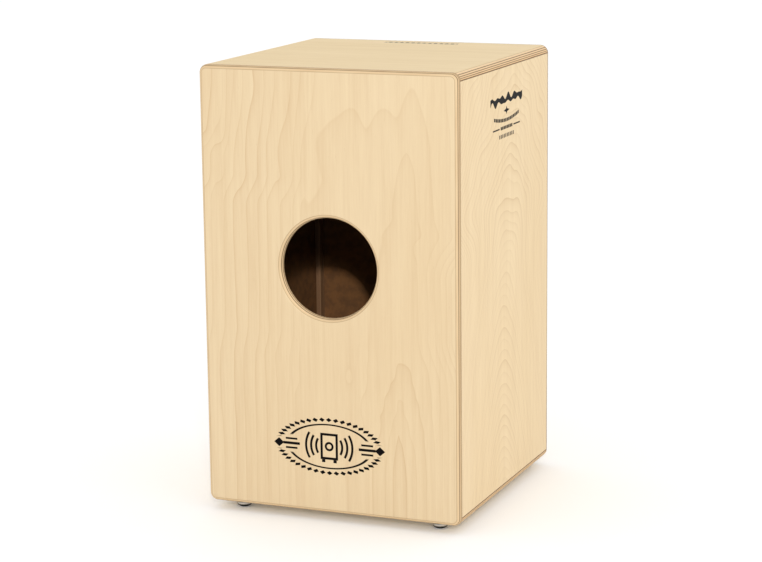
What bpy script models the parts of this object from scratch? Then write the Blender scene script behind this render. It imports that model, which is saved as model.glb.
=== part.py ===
"""A string cajon: a plywood box drum that the player sits on and plays on its thin front board.

Metres, +Z up. The origin is on the floor under the middle of the box. The front playing board (the tapa)
faces -Y and the sound hole is in the rear board, which faces +Y. Left and right are -X and +X.
"""

import math

import bmesh
import bpy
from mathutils import Euler, Matrix, Vector

# Overall size, feet included.
WIDTH = 0.300
DEPTH = 0.300
HEIGHT = 0.500
FOOT_HEIGHT = 0.010
GAP = 0.0003  # glue line, or clearance between pieces that touch

# Boards.
BOARD = 0.009
REAR = 0.007
TAPA = 0.003
CORNER_RADIUS = 0.009
REAR_ROUND = 0.006
TAPA_ROUND = 0.002
END_ROUND = BOARD - GAP
CORNER_STEPS = 7
ROUND_STEPS = 4
TAPA_ROUND_STEPS = 3

# Sound hole, in the rear board.
HOLE_RADIUS = 0.055
HOLE_HEIGHT = 0.284
HOLE_STEPS = 56

# Battens that widen the glue joints of the upright corners.
BATTEN_WIDTH = 0.006
BATTEN_DEPTH = 0.012
BATTEN_BEVEL = 0.0006

# Snare: each wire is doubled over a hook screw and pulled by an anchor on a tension screw.
STRING_X = 0.032
STRING_SPREAD = 0.012
STRING_RADIUS = 0.0005
STRING_Y = -DEPTH / 2 + TAPA + GAP + STRING_RADIUS
STRING_TOUCH_LOW = 0.100
STRING_TOUCH_HIGH = 0.455
RAIL_LENGTH = 0.120
RAIL_DEPTH = 0.018
RAIL_HEIGHT = 0.020
RAIL_FRONT_Y = -0.142
HOOK_Z = 0.480
HOOK_RADIUS = 0.00175
HOOK_LENGTH = 0.016
HOOK_HEAD_RADIUS = 0.0032
HOOK_HEAD = 0.0016
HOOK_SLOT_WIDTH = 0.0008
HOOK_SLOT_DEPTH = 0.0007
LOOP_Y = -0.1434
LOOP_RADIUS = HOOK_RADIUS + GAP + STRING_RADIUS
LOOP_STEPS = 8

SCREW_Y = -0.138
BLOCK_DEPTH = 0.016
BLOCK_HEIGHT = 0.025
BLOCK_LENGTH = 0.120
ANCHOR_Z = 0.060
ANCHOR_LENGTH = 0.034
ANCHOR_DEPTH = 0.012
ANCHOR_HEIGHT = 0.006
ANCHOR_BEVEL = 0.0008
SLOT_WIDTH = 2 * (STRING_RADIUS + GAP)
SLOT_DEPTH = 0.0023
BALL_RADIUS = 0.0019
BALL_LENGTH = 0.0032
BALL_WAIST_RADIUS = 0.0013
TENSION_RADIUS = 0.0025
TENSION_TOP = 0.074
TENSION_HEAD_RADIUS = 0.00425
TENSION_HEAD = 0.004
SOCKET_ACROSS_FLATS = 0.004
SOCKET_DEPTH = 0.0025
WASHER_RADIUS = 0.006
WASHER = 0.0010
TENSION_HEAD_TOP = FOOT_HEIGHT - WASHER - 2 * GAP

# Feet.
FOOT_X = 0.118
FOOT_Y = 0.125
CUP_RADIUS = 0.00875
CUP_MOUTH_RADIUS = 0.0066
CUP_WALL = 0.0010
CUP_BASE = 0.0015
CUP_STRAIGHT = 0.0055
CUP_MOUTH = 0.0012
CUP_CHAMFER = 0.0006
PAD_CHAMFER = 0.0004
PAD_HOLE_RADIUS = 0.0042
FOOT_SCREW_RADIUS = 0.0020
FOOT_SCREW_HEAD_RADIUS = 0.0035
FOOT_SCREW_HEAD = 0.0022
FOOT_SCREW_TIP = 0.0177

# Countersunk screws of the tapa.
TAPA_SCREW_RADIUS = 0.00145
TAPA_SCREW_HEAD_RADIUS = 0.0030
TAPA_SCREW_LENGTH = 0.016
TAPA_SCREW_SIDE_X = 0.1445
TAPA_SCREW_END_X = 0.132
TAPA_SCREW_EDGE = 0.0050
TAPA_SCREW_SIDE_HEIGHTS = (0.130, 0.255, 0.380)

# Driver recess of the cross-head screws.
CROSS_LENGTH = 0.0034
CROSS_WIDTH = 0.0009
CROSS_DEPTH = 0.0014

BLOCK_BEVEL = 0.001
SCREW_CHAMFER = 0.0005
MERGE_DISTANCE = 0.00001
ROUND_SIDES = 20
SMALL_SIDES = 12
SMOOTH_ANGLE = math.radians(32)
FACING_FRONT = (math.radians(90), 0, 0)  # turns +Z to the tapa's side, -Y
FACING_REAR = (math.radians(-90), 0, 0)

BOX_BOTTOM = FOOT_HEIGHT
TAPA_BACK = -DEPTH / 2 + TAPA
REAR_FRONT = DEPTH / 2 - REAR
SIDES = {"left": -1, "right": 1}
ENDS = {"front": -1, "rear": 1}

# Colour, roughness and metallic value of each finish.
FINISHES = {
    "birch_face": ((0.86, 0.69, 0.45), 0.45, 0.0),
    "birch_side": ((0.88, 0.73, 0.50), 0.45, 0.0),
    "birch_top": ((0.86, 0.72, 0.50), 0.42, 0.0),
    "birch_strip": ((0.78, 0.62, 0.40), 0.60, 0.0),
    "beech": ((0.70, 0.48, 0.30), 0.55, 0.0),
    "nickel": ((0.76, 0.75, 0.73), 0.12, 1.0),
    "rubber": ((0.03, 0.03, 0.03), 0.80, 0.0),
    "zinc_steel": ((0.62, 0.62, 0.60), 0.30, 1.0),
    "black_steel": ((0.05, 0.05, 0.05), 0.35, 1.0),
    "brass": ((0.80, 0.60, 0.28), 0.25, 1.0),
    "bronze_wire": ((0.72, 0.55, 0.38), 0.30, 1.0),
}


def clear_scene():
    for item in list(bpy.data.objects):
        bpy.data.objects.remove(item)


def collection(name):
    made = bpy.data.collections.new(name)
    bpy.context.scene.collection.children.link(made)
    return made


clear_scene()
PARTS = collection("cajon")
CUTTERS = collection("cutters")


def material(name, finish):
    """A Principled material of its own for one sub-part."""
    colour, roughness, metallic = FINISHES[finish]
    made = bpy.data.materials.new(name)
    made.use_nodes = True
    shader = made.node_tree.nodes["Principled BSDF"]
    shader.inputs["Base Color"].default_value = (*colour, 1.0)
    shader.inputs["Roughness"].default_value = roughness
    shader.inputs["Metallic"].default_value = metallic
    made.diffuse_color = (*colour, 1.0)
    return made


def piece(name, mesh, finish, location=(0, 0, 0), rotation=(0, 0, 0), parent=None):
    """One sub-part: an object that shows this mesh, with its own material on the object."""
    obj = bpy.data.objects.new(name, mesh)
    PARTS.objects.link(obj)
    if not mesh.materials:
        mesh.materials.append(None)
    obj.material_slots[0].link = "OBJECT"
    obj.material_slots[0].material = material(name + "_finish", finish)
    obj.location = location
    obj.rotation_euler = rotation
    obj.parent = parent
    return obj


def cutter(name, mesh, location=(0, 0, 0), rotation=(0, 0, 0)):
    obj = bpy.data.objects.new(name, mesh)
    CUTTERS.objects.link(obj)
    obj.location = location
    obj.rotation_euler = rotation
    obj.hide_render = True
    obj.display_type = "WIRE"
    return obj


def cut(obj, tool):
    boolean = obj.modifiers.new("cut_" + tool.name, "BOOLEAN")
    boolean.operation = "DIFFERENCE"
    boolean.solver = "EXACT"
    boolean.object = tool


def even_shading(*objects):
    """Shades each flat face flat up to its rounded edges. It comes after an object's last cut."""
    for obj in objects:
        shading = obj.modifiers.new("even_shading", "WEIGHTED_NORMAL")
        shading.keep_sharp = True


def baked(obj):
    """The object's evaluated mesh, in its own space. The object itself is removed."""
    bpy.context.view_layer.update()
    evaluated = obj.evaluated_get(bpy.context.evaluated_depsgraph_get())
    mesh = bpy.data.meshes.new_from_object(evaluated)
    bpy.data.objects.remove(obj)
    return mesh


def smooth(mesh):
    mesh.shade_smooth()
    mesh.set_sharp_from_angle(angle=SMOOTH_ANGLE)
    return mesh


def box_mesh(name, low, high, rounds=()):
    """A box between two corners. Each round is (test of an edge's ends, radius, steps), cut in turn."""
    low, high = Vector(low), Vector(high)
    model = bmesh.new()
    bmesh.ops.create_cube(model, size=1.0)
    size = high - low
    place = Matrix.Translation((low + high) / 2) @ Matrix.Diagonal((*size, 1.0))
    bmesh.ops.transform(model, matrix=place, verts=model.verts)
    for wanted, radius, steps in rounds:
        edges = [e for e in model.edges if wanted(e.verts[0].co, e.verts[1].co)]
        bmesh.ops.bevel(
            model, geom=edges, offset=radius, segments=steps, profile=0.5, affect="EDGES"
        )
    mesh = bpy.data.meshes.new(name)
    model.to_mesh(mesh)
    model.free()
    return smooth(mesh)


def every_edge(a, b):
    return True


def runs_along_y(a, b):
    return abs(a.x - b.x) < GAP and abs(a.z - b.z) < GAP


def turned(name, profile, sides=ROUND_SIDES, closed=False):
    """A solid turned about Z. The profile runs down its outer side, as (radius, height) points."""
    mesh = bpy.data.meshes.new(name)
    edges = [(i, i + 1) for i in range(len(profile) - 1)]
    if closed:
        edges.append((len(profile) - 1, 0))
    mesh.from_pydata([(r, 0.0, z) for r, z in profile], edges, [])
    obj = bpy.data.objects.new(name, mesh)
    PARTS.objects.link(obj)
    screw = obj.modifiers.new("turn", "SCREW")
    screw.steps = sides
    screw.render_steps = sides
    screw.use_merge_vertices = True
    screw.merge_threshold = MERGE_DISTANCE
    return smooth(baked(obj))


def cylinder_mesh(name, radius, low, high, sides=ROUND_SIDES):
    return turned(name, [(0, high), (radius, high), (radius, low), (0, low)], sides)


def joined_copies(name, mesh, places):
    """One mesh that holds a copy of this one at each of the places (4x4 matrices)."""
    model = bmesh.new()
    for place in places:
        copy = mesh.copy()
        copy.transform(place)
        model.from_mesh(copy)
        bpy.data.meshes.remove(copy)
    made = bpy.data.meshes.new(name)
    model.to_mesh(made)
    model.free()
    return made


def carved(name, mesh, tools):
    """The mesh with each tool's mesh cut away."""
    obj = bpy.data.objects.new(name, mesh)
    PARTS.objects.link(obj)
    helpers = [cutter(f"{name}_cutter_{i}", tool) for i, tool in enumerate(tools)]
    for helper in helpers:
        cut(obj, helper)
    made = baked(obj)
    for helper in helpers:
        bpy.data.objects.remove(helper)
    return smooth(made)


def arc(centre, radius, start, end, steps):
    """Points on an arc from one angle to another, both in degrees, ends included."""
    angles = [math.radians(start + (end - start) * i / steps) for i in range(steps + 1)]
    return [(centre[0] + radius * math.cos(a), centre[1] + radius * math.sin(a)) for a in angles]


# ---------------------------------------------------------------- tapa screws


def tapa_screw_places():
    """A matrix for each countersunk screw, whose own axis +Z points out of the tapa."""
    low, high = BOX_BOTTOM + TAPA_SCREW_EDGE, HEIGHT - TAPA_SCREW_EDGE
    spots = [(x, z) for z in (high, low) for x in (-TAPA_SCREW_END_X, 0.0, TAPA_SCREW_END_X)]
    spots += [(s * TAPA_SCREW_SIDE_X, z) for s in (-1, 1) for z in TAPA_SCREW_SIDE_HEIGHTS]
    facing = Euler(FACING_FRONT).to_matrix().to_4x4()
    return [Matrix.Translation((x, -DEPTH / 2, z)) @ facing for x, z in spots]


def countersunk_profile(grow, above):
    """Outline of the screw, or with grow and above of the hole that it sits in."""
    head, shank = TAPA_SCREW_HEAD_RADIUS + grow, TAPA_SCREW_RADIUS + grow
    tip = -TAPA_SCREW_LENGTH - grow
    return [
        (0, above),
        (head, above),
        (head, -GAP),
        (shank, -GAP - (head - shank)),
        (shank, tip + shank),
        (0, tip),
    ]


def cross_recess(name, height):
    """Two crossed bars that cut a driver recess into a screw head at this height."""
    long, wide, deep = CROSS_LENGTH / 2, CROSS_WIDTH / 2, CROSS_DEPTH
    low, high = height - deep, height + deep
    return [
        box_mesh(name + "_along", (-long, -wide, low), (long, wide, high)),
        box_mesh(name + "_across", (-wide, -long, low), (wide, long, high)),
    ]


def build_tapa_screws():
    blank = turned("tapa_screw_blank", countersunk_profile(0.0, -GAP), SMALL_SIDES)
    mesh = carved("tapa_screw", blank, cross_recess("tapa_screw_cross", -GAP))
    for number, place in enumerate(tapa_screw_places(), 1):
        obj = piece(f"tapa_screw_{number:02d}", mesh, "black_steel")
        obj.matrix_world = place


def tapa_screw_holes():
    hole = turned("tapa_screw_hole", countersunk_profile(GAP, TAPA_SCREW_RADIUS), SMALL_SIDES)
    return cutter("tapa_screw_holes", joined_copies("tapa_screw_holes", hole, tapa_screw_places()))


# ---------------------------------------------------------------- boards


def full_outline_board(name, y_out, y_in, radius, steps):
    """A board of the box's whole outline, with round corners and a round-over on its outer face."""
    low = (-WIDTH / 2, min(y_out, y_in), BOX_BOTTOM)
    high = (WIDTH / 2, max(y_out, y_in), HEIGHT)

    def on_outer_face(a, b):
        return abs(a.y - y_out) < GAP and abs(b.y - y_out) < GAP

    rounds = [(runs_along_y, CORNER_RADIUS, CORNER_STEPS), (on_outer_face, radius, steps)]
    return box_mesh(name, low, high, rounds)


def hole_cutter():
    """The sound hole with its rounded outer rim, turned about Y."""
    top = DEPTH / 2
    flare = arc((HOLE_RADIUS + REAR_ROUND, top - REAR_ROUND), REAR_ROUND, 90, 180, ROUND_STEPS)
    rim = HOLE_RADIUS + REAR_ROUND
    profile = [(0, top + REAR), (rim, top + REAR), *flare]
    profile += [(HOLE_RADIUS, REAR_FRONT - REAR), (0, REAR_FRONT - REAR)]
    mesh = turned("sound_hole", profile, HOLE_STEPS)
    return cutter("sound_hole_cutter", mesh, (0, 0, HOLE_HEIGHT), FACING_REAR)


def build_rear_panel():
    mesh = full_outline_board("rear_panel", DEPTH / 2, REAR_FRONT, REAR_ROUND, ROUND_STEPS)
    obj = piece("rear_panel", mesh, "birch_face")
    cut(obj, hole_cutter())
    even_shading(obj)


def build_tapa(screw_holes):
    mesh = full_outline_board("tapa", -DEPTH / 2, TAPA_BACK, TAPA_ROUND, TAPA_ROUND_STEPS)
    obj = piece("tapa", mesh, "birch_face")
    cut(obj, screw_holes)
    even_shading(obj)


def end_board_mesh(name, low_z, high_z, outer_z):
    """The seat or the floor board, whose two ends are rounded over on the outer side."""

    def outer_end(a, b):
        return runs_along_y(a, b) and abs(a.z - outer_z) < GAP

    low = (-WIDTH / 2, TAPA_BACK + GAP, low_z)
    high = (WIDTH / 2, REAR_FRONT - GAP, high_z)
    return box_mesh(name, low, high, [(outer_end, END_ROUND, CORNER_STEPS)])


def build_end_boards(screw_holes, tension_bores):
    seat_mesh = end_board_mesh("top_board", HEIGHT - BOARD, HEIGHT, HEIGHT)
    seat = piece("top_board", seat_mesh, "birch_top")
    cut(seat, screw_holes)
    floor_mesh = end_board_mesh("bottom_board", BOX_BOTTOM, BOX_BOTTOM + BOARD, BOX_BOTTOM)
    floor = piece("bottom_board", floor_mesh, "birch_top")
    for tool in (screw_holes, tension_bores, foot_screw_holes()):
        cut(floor, tool)
    even_shading(seat, floor)


def build_sides(screw_holes):
    """The two upright side boards, and the four battens that back their glue joints."""
    bottom, top = BOX_BOTTOM + BOARD + GAP, HEIGHT - BOARD - GAP
    height = top - bottom
    depth = REAR_FRONT - TAPA_BACK - 2 * GAP
    inner = WIDTH / 2 - BOARD
    board = box_mesh("side_panel", (-BOARD / 2, -depth / 2, 0), (BOARD / 2, depth / 2, height))
    low = (-BATTEN_WIDTH / 2, -BATTEN_DEPTH / 2, 0)
    high = (BATTEN_WIDTH / 2, BATTEN_DEPTH / 2, height)
    strip = box_mesh("batten", low, high, [(every_edge, BATTEN_BEVEL, 1)])
    strip_x = inner - GAP - BATTEN_WIDTH / 2
    strip_y = {
        "front": TAPA_BACK + GAP + BATTEN_DEPTH / 2,
        "rear": REAR_FRONT - GAP - BATTEN_DEPTH / 2,
    }
    for side, sign in SIDES.items():
        spot = (sign * (inner + BOARD / 2), (TAPA_BACK + REAR_FRONT) / 2, bottom)
        panel = piece(f"{side}_side_panel", board, "birch_side", spot)
        cut(panel, screw_holes)
        for end, y in strip_y.items():
            piece(f"{side}_{end}_batten", strip, "birch_strip", (sign * strip_x, y, bottom))


# ---------------------------------------------------------------- snare strings and their tension


def build_string_rail():
    top = HEIGHT - BOARD - GAP
    low = (-RAIL_LENGTH / 2, RAIL_FRONT_Y, top - RAIL_HEIGHT)
    high = (RAIL_LENGTH / 2, RAIL_FRONT_Y + RAIL_DEPTH, top)
    bar = box_mesh("string_rail", low, high, [(every_edge, BLOCK_BEVEL, 2)])
    rail = piece("string_rail", bar, "beech")
    facing = Euler(FACING_FRONT).to_matrix().to_4x4()
    depth = HOOK_LENGTH + GAP
    hole = cylinder_mesh("hook_hole", HOOK_RADIUS + GAP, -depth, HOOK_RADIUS, SMALL_SIDES)
    places = [Matrix.Translation((s * STRING_X, RAIL_FRONT_Y, HOOK_Z)) @ facing for s in (-1, 1)]
    cut(rail, cutter("hook_holes", joined_copies("hook_holes", hole, places)))


def build_hook_screws():
    """Round-head screws in the rail's front face, over which the wires are doubled."""
    under = RAIL_FRONT_Y - LOOP_Y + STRING_RADIUS + GAP
    quarter = arc((0, 0), 1.0, 90, 0, 4)
    dome = [(HOOK_HEAD_RADIUS * c, under + HOOK_HEAD * s) for c, s in quarter]
    shank = [(HOOK_RADIUS, under), (HOOK_RADIUS, HOOK_RADIUS - HOOK_LENGTH), (0, -HOOK_LENGTH)]
    blank = turned("hook_blank", dome + shank, SMALL_SIDES)
    half = HOOK_HEAD_RADIUS + GAP
    floor = under + HOOK_HEAD - HOOK_SLOT_DEPTH
    slot = box_mesh(
        "hook_slot", (-half, -HOOK_SLOT_WIDTH / 2, floor), (half, HOOK_SLOT_WIDTH / 2, floor + half)
    )
    mesh = carved("string_hook_screw", blank, [slot])
    for side, sign in SIDES.items():
        spot = (sign * STRING_X, RAIL_FRONT_Y, HOOK_Z)
        piece(f"string_hook_screw_{side}", mesh, "zinc_steel", spot, FACING_FRONT)


def string_points(x):
    """Centre line of one doubled wire: up from one slot, over the hook and down to the other slot."""
    slot_y = SCREW_Y - ANCHOR_DEPTH / 2 + SLOT_DEPTH - GAP - STRING_RADIUS
    rises = [
        (slot_y, ANCHOR_Z + GAP),
        (slot_y, ANCHOR_Z + ANCHOR_HEIGHT),
        (STRING_Y, STRING_TOUCH_LOW),
        (STRING_Y, STRING_TOUCH_HIGH),
        (LOOP_Y, HOOK_Z - 2 * LOOP_RADIUS),
    ]

    def spread_at(z):
        share = (z - ANCHOR_Z) / (HOOK_Z - ANCHOR_Z)
        return STRING_SPREAD + (LOOP_RADIUS - STRING_SPREAD) * share

    up = [(x - spread_at(z), y, z) for y, z in rises]
    loop = [(x + r, LOOP_Y, HOOK_Z + h) for r, h in arc((0, 0), LOOP_RADIUS, 180, 0, LOOP_STEPS)]
    down = [(x + spread_at(z), y, z) for y, z in reversed(rises)]
    return up + loop + down


def build_strings():
    for side, sign in SIDES.items():
        curve = bpy.data.curves.new(f"snare_string_{side}", "CURVE")
        curve.dimensions = "3D"
        curve.bevel_depth = STRING_RADIUS
        curve.bevel_resolution = 2
        curve.use_fill_caps = True
        points = string_points(sign * STRING_X)
        spline = curve.splines.new("POLY")
        spline.points.add(len(points) - 1)
        for point, place in zip(spline.points, points):
            point.co = (*place, 1.0)
        obj = bpy.data.objects.new(f"snare_string_{side}", curve)
        PARTS.objects.link(obj)
        curve.materials.append(material(f"snare_string_{side}_finish", "bronze_wire"))


def axis_empty(side, sign):
    """The tension screw's axis, which carries the pieces that turn about it or slide along it."""
    empty = bpy.data.objects.new(f"{side}_tension_axis", None)
    PARTS.objects.link(empty)
    empty.location = (sign * STRING_X, SCREW_Y, 0)
    return empty


def tension_screw_mesh():
    """Socket cap screw, head down."""
    top, under = TENSION_TOP, TENSION_HEAD_TOP
    bottom, chamfer = TENSION_HEAD_TOP - TENSION_HEAD, SCREW_CHAMFER
    profile = [
        (0, top),
        (TENSION_RADIUS - chamfer, top),
        (TENSION_RADIUS, top - chamfer),
        (TENSION_RADIUS, under),
        (TENSION_HEAD_RADIUS, under),
        (TENSION_HEAD_RADIUS, bottom + chamfer),
        (TENSION_HEAD_RADIUS - chamfer, bottom),
        (0, bottom),
    ]
    blank = turned("tension_blank", profile)
    across = SOCKET_ACROSS_FLATS / math.sqrt(3)
    socket = cylinder_mesh("hex_socket", across, bottom - SOCKET_DEPTH, bottom + SOCKET_DEPTH, 6)
    return carved("tension_screw", blank, [socket])


def washer_mesh():
    top = BOX_BOTTOM - GAP
    inner, low = TENSION_RADIUS + GAP, top - WASHER
    profile = [(inner, top), (WASHER_RADIUS, top), (WASHER_RADIUS, low), (inner, low)]
    return turned("tension_washer", profile, ROUND_SIDES, closed=True)


def anchor_mesh():
    """A flat bar on the tension screw, with a slot for the wire near each end."""
    half, depth = ANCHOR_LENGTH / 2, ANCHOR_DEPTH / 2
    low, high = (-half, -depth, ANCHOR_Z), (half, depth, ANCHOR_Z + ANCHOR_HEIGHT)
    bar = box_mesh("anchor_bar", low, high, [(every_edge, ANCHOR_BEVEL, 2)])
    above = ANCHOR_Z + 2 * ANCHOR_HEIGHT
    tools = [cylinder_mesh("anchor_bore", TENSION_RADIUS + GAP, ANCHOR_Z - ANCHOR_HEIGHT, above)]
    for sign in (-1, 1):
        middle = sign * STRING_SPREAD
        start = (middle - SLOT_WIDTH / 2, -2 * depth, ANCHOR_Z - ANCHOR_HEIGHT)
        end = (middle + SLOT_WIDTH / 2, -depth + SLOT_DEPTH, above)
        tools.append(box_mesh("anchor_slot", start, end))
    return carved("string_anchor", bar, tools)


def ball_mesh():
    """The ring on the end of a wire, lying across it: a short spool turned about X."""
    half, edge = BALL_LENGTH / 2, SCREW_CHAMFER
    profile = [
        (0, half),
        (BALL_RADIUS - edge, half),
        (BALL_RADIUS, half - edge),
        (BALL_WAIST_RADIUS, 0.0),
        (BALL_RADIUS, -half + edge),
        (BALL_RADIUS - edge, -half),
        (0, -half),
    ]
    mesh = turned("string_ball", profile, SMALL_SIDES)
    mesh.transform(Matrix.Rotation(math.radians(90), 4, "Y"))
    return mesh


def build_tension_sets():
    screw, washer, anchor, ball = tension_screw_mesh(), washer_mesh(), anchor_mesh(), ball_mesh()
    wire_y = -ANCHOR_DEPTH / 2 + SLOT_DEPTH - GAP - STRING_RADIUS
    ball_z = ANCHOR_Z - GAP - BALL_RADIUS
    for side, sign in SIDES.items():
        axis = axis_empty(side, sign)
        piece(f"tension_screw_{side}", screw, "black_steel", parent=axis)
        piece(f"tension_washer_{side}", washer, "zinc_steel", parent=axis)
        piece(f"string_anchor_{side}", anchor, "brass", parent=axis)
        for end, across in (("inner", -sign), ("outer", sign)):
            spot = (across * STRING_SPREAD, wire_y, ball_z)
            piece(f"string_ball_{side}_{end}", ball, "brass", spot, parent=axis)


def tension_holes():
    """Running holes of the tension screws, through the floor board and the block on it."""
    hole = cylinder_mesh("tension_hole", TENSION_RADIUS + GAP, 0.0, TENSION_TOP)
    places = [Matrix.Translation((s * STRING_X, SCREW_Y, 0)) for s in (-1, 1)]
    return cutter("tension_holes", joined_copies("tension_holes", hole, places))


def build_tuning_block(holes):
    """Beech block on the floor board that carries the pull of the tension screws."""
    bottom = BOX_BOTTOM + BOARD + GAP
    low = (-BLOCK_LENGTH / 2, SCREW_Y - BLOCK_DEPTH / 2, bottom)
    high = (BLOCK_LENGTH / 2, SCREW_Y + BLOCK_DEPTH / 2, bottom + BLOCK_HEIGHT)
    solid = box_mesh("tuning_block", low, high, [(every_edge, BLOCK_BEVEL, 2)])
    cut(piece("tuning_block", solid, "beech"), holes)


# ---------------------------------------------------------------- feet


def foot_places():
    return {
        f"{end}_{side}": (x_sign * FOOT_X, y_sign * FOOT_Y, 0.0)
        for end, y_sign in ENDS.items()
        for side, x_sign in SIDES.items()
    }


def bowl(radius, mouth, straight, low, steps=3):
    """Outer line of a foot, from where its straight side ends down to its mouth."""
    quarter = arc((0, 0), 1.0, 0, -90, steps)
    return [(mouth + (radius - mouth) * c, straight + (straight - low) * s) for c, s in quarter]


def cup_mesh():
    """Polished metal cup, open below, with a hole for its screw."""
    top, hole = FOOT_HEIGHT - GAP, FOOT_SCREW_RADIUS + GAP
    outer = [(hole, top), (CUP_RADIUS - CUP_CHAMFER, top), (CUP_RADIUS, top - CUP_CHAMFER)]
    outer += bowl(CUP_RADIUS, CUP_MOUTH_RADIUS, CUP_STRAIGHT, CUP_MOUTH)
    inner = bowl(CUP_RADIUS - CUP_WALL, CUP_MOUTH_RADIUS - CUP_WALL, CUP_STRAIGHT, CUP_MOUTH)
    under = top - CUP_BASE
    profile = outer + inner[::-1] + [(CUP_RADIUS - CUP_WALL, under), (hole, under)]
    return turned("foot_cup", profile, ROUND_SIDES, closed=True)


def pad_mesh():
    """Rubber ring pressed into the cup, standing a little proud of its mouth."""
    wide, narrow = CUP_RADIUS - CUP_WALL - GAP, CUP_MOUTH_RADIUS - CUP_WALL - GAP
    top = FOOT_HEIGHT - CUP_BASE - 2 * GAP
    outer = [(PAD_HOLE_RADIUS, top), (wide, top)]
    outer += bowl(wide, narrow, CUP_STRAIGHT, CUP_MOUTH)
    outer += [(narrow, PAD_CHAMFER), (narrow - PAD_CHAMFER, 0.0), (PAD_HOLE_RADIUS, 0.0)]
    return turned("foot_pad", outer, ROUND_SIDES, closed=True)


def foot_screw_mesh():
    """Pan-head wood screw, head down, that holds the cup to the floor board."""
    seat = FOOT_HEIGHT - CUP_BASE - 2 * GAP
    bottom, tip = seat - FOOT_SCREW_HEAD, FOOT_SCREW_TIP
    profile = [
        (0, tip),
        (FOOT_SCREW_RADIUS, tip - FOOT_SCREW_RADIUS),
        (FOOT_SCREW_RADIUS, seat),
        (FOOT_SCREW_HEAD_RADIUS, seat),
        (FOOT_SCREW_HEAD_RADIUS, bottom + FOOT_SCREW_HEAD / 2),
        (FOOT_SCREW_RADIUS, bottom),
        (0, bottom),
    ]
    blank = turned("foot_screw_blank", profile, SMALL_SIDES)
    return carved("foot_screw", blank, cross_recess("foot_screw_cross", bottom))


def foot_screw_holes():
    hole = cylinder_mesh(
        "foot_screw_hole", FOOT_SCREW_RADIUS + GAP, 0.0, FOOT_SCREW_TIP + GAP, SMALL_SIDES
    )
    places = [Matrix.Translation(place) for place in foot_places().values()]
    return cutter("foot_screw_holes", joined_copies("foot_screw_holes", hole, places))


def build_feet():
    cup, pad, screw = cup_mesh(), pad_mesh(), foot_screw_mesh()
    for where, place in foot_places().items():
        piece(f"foot_cup_{where}", cup, "nickel", place)
        piece(f"foot_pad_{where}", pad, "rubber", place)
        piece(f"foot_screw_{where}", screw, "zinc_steel", place)


def main():
    screw_holes = tapa_screw_holes()
    tension_bores = tension_holes()
    build_rear_panel()
    build_tapa(screw_holes)
    build_end_boards(screw_holes, tension_bores)
    build_sides(screw_holes)
    build_tapa_screws()
    build_string_rail()
    build_hook_screws()
    build_strings()
    build_tuning_block(tension_bores)
    build_tension_sets()
    build_feet()


main()
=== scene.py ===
"""The cajon's looks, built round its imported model: birch plywood, metal fittings and a studio.

Metres, +Z up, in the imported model's own frame: the tapa faces -Y and the sound hole +Y.
"""

import math

import bmesh
import bpy
from mathutils import Matrix, Vector


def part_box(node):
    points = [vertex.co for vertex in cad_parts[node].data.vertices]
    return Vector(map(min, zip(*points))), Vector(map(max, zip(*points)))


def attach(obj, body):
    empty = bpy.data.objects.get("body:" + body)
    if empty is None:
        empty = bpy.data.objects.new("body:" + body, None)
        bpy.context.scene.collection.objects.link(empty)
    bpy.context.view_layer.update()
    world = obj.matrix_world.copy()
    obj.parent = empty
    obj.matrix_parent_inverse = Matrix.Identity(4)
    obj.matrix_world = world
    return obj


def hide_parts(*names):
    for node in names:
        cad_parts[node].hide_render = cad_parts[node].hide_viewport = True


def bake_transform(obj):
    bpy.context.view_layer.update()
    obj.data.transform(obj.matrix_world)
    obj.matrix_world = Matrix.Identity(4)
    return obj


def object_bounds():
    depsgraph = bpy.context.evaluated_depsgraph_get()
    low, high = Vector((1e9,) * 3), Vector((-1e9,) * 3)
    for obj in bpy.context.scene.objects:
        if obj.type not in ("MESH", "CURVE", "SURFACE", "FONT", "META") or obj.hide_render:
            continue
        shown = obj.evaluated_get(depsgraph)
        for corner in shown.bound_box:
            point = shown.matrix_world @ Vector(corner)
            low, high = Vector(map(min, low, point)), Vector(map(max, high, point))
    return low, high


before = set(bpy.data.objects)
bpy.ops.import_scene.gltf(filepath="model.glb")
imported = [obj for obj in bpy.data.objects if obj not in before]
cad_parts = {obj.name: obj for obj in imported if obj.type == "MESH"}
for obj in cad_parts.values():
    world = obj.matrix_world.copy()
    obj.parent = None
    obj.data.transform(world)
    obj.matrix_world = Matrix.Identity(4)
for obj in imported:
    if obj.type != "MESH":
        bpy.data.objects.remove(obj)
CAD_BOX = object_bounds()

# Camera: lens and sensor in millimetres. The drop lowers it below the line through its aim.
LENS = 110.2
SENSOR = 36.0
CLIP_START = 0.01
CAMERA_AIM = Vector((0.0, 0.0, 0.255))
CAMERA_DISTANCE = 2.651
CAMERA_AZIMUTH = math.radians(22.28)
CAMERA_PITCH = math.radians(11.61)
CAMERA_ROLL = math.radians(-0.65)
CAMERA_DROP = 0.0129

# Light: a white sky, a key light, and a narrow beam, whose width is measured at the sound hole.
SKY = 1.0
KEY_AZIMUTH = math.radians(24.0)
KEY_ELEVATION = math.radians(20.5)
KEY_DISTANCE = 3.2
KEY_SIZE = 0.25
KEY_WATTS = 18.0
BEAM_WATTS = 200.0
BEAM_WIDTH = 0.096
BEAM_SOFTNESS = 0.007
BEAM_FADE = 0.1
FLOOR_GLOW = 0.07
FLOOR_SIZE = 30.0
WHITE = (1.0, 1.0, 1.0, 1.0)

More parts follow.
